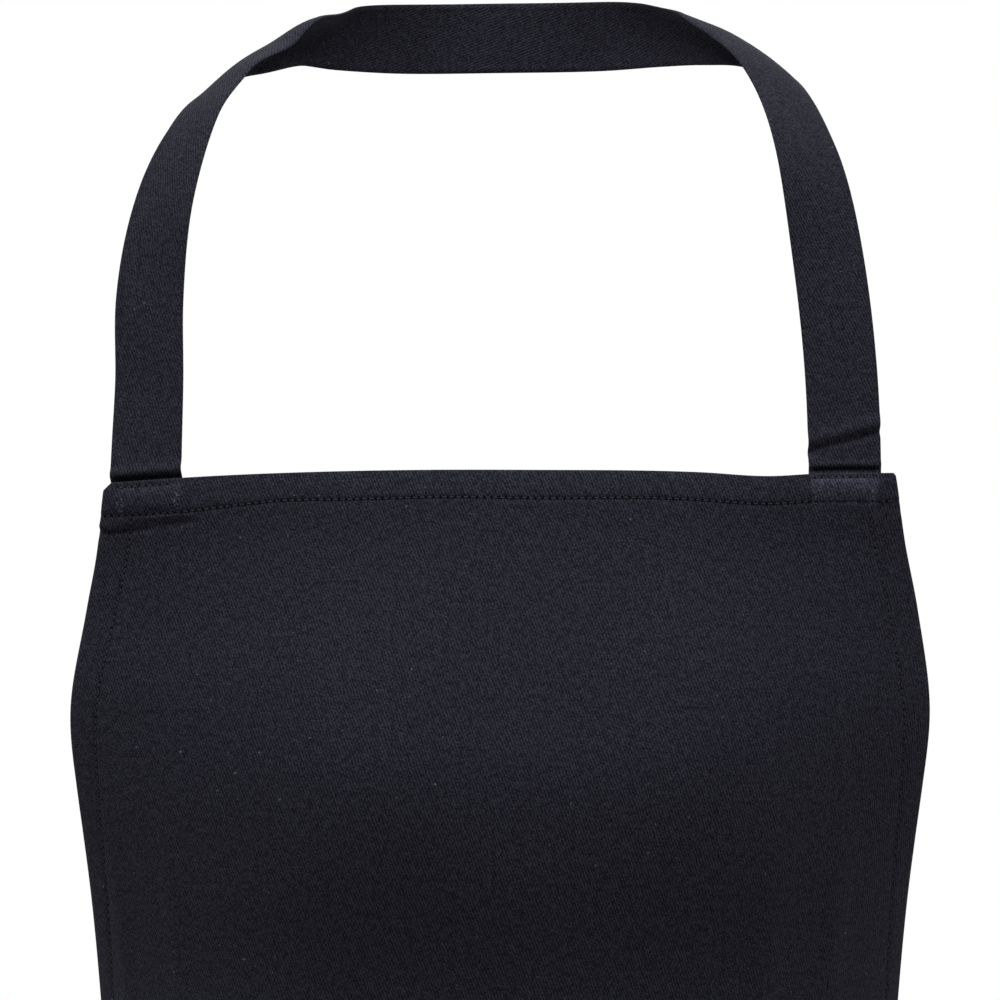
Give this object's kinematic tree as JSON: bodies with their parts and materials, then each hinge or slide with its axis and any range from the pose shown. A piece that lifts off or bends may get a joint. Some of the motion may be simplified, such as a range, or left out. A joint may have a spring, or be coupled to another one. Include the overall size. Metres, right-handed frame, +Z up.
{
  "type": "bib apron",
  "caption": "Plain twill bib apron as worn: hemmed front panel, sewn-on neck strap, waist ties in a bow behind the back.",
  "frame": {"origin": "centre of the wearer's waist at the height of the waist ties", "axes": "+Z up to the neck strap, -Y the apron's front, +X the right-hand side seen from the front"},
  "size_m": [0.3972, 0.2709, 1.0547],
  "materials": {
    "twill": "matte navy-black cotton twill",
    "thread": "matte sewing thread"
  },
  "bodies": {
    "apron": {"front_panel": "twill", "top_hem": "twill", "bottom_hem": "twill", "left_bib_hem": "twill", "right_bib_hem": "twill", "left_skirt_hem": "twill", "right_skirt_hem": "twill", "left_strap_end": "twill", "right_strap_end": "twill", "left_waist_tie": "twill", "right_waist_tie": "twill", "bow_knot": "twill", "top_hem_stitching": "thread", "bottom_hem_stitching": "thread", "left_bib_hem_stitching": "thread", "right_bib_hem_stitching": "thread", "left_skirt_hem_stitching": "thread", "right_skirt_hem_stitching": "thread", "left_strap_stitching": "thread", "right_strap_stitching": "thread", "left_tie_stitching": "thread", "right_tie_stitching": "thread"},
    "strap": {"neck_strap": "twill"},
    "left_loop": {"left_bow_loop": "twill"},
    "right_loop": {"right_bow_loop": "twill"},
    "left_tail": {"left_tie_tail": "twill", "left_tail_hem": "twill", "left_tail_stitching": "thread"},
    "right_tail": {"right_tie_tail": "twill", "right_tail_hem": "twill", "right_tail_stitching": "thread"}
  },
  "joints": [
    {"name": "neck_strap_flip", "type": "hinge", "parent": "apron", "child": "strap", "pos_m": [0, -0.1134, 0.3103], "axis": [1, 0, 0], "range_deg": [0, 170]},
    {"name": "left_loop_lift", "type": "hinge", "parent": "apron", "child": "left_loop", "pos_m": [-0.015, 0.1165, 0], "axis": [0, 1, 0], "range_deg": [0, 60]},
    {"name": "right_loop_lift", "type": "hinge", "parent": "apron", "child": "right_loop", "pos_m": [0.015, 0.1165, 0], "axis": [0, -1, 0], "range_deg": [0, 60]},
    {"name": "left_tail_swing", "type": "hinge", "parent": "apron", "child": "left_tail", "pos_m": [0, 0.1185, -0.0165], "axis": [1, 0, 0], "range_deg": [0, 75]},
    {"name": "right_tail_swing", "type": "hinge", "parent": "apron", "child": "right_tail", "pos_m": [0, 0.1185, -0.0165], "axis": [1, 0, 0], "range_deg": [0, 75]}
  ]
}
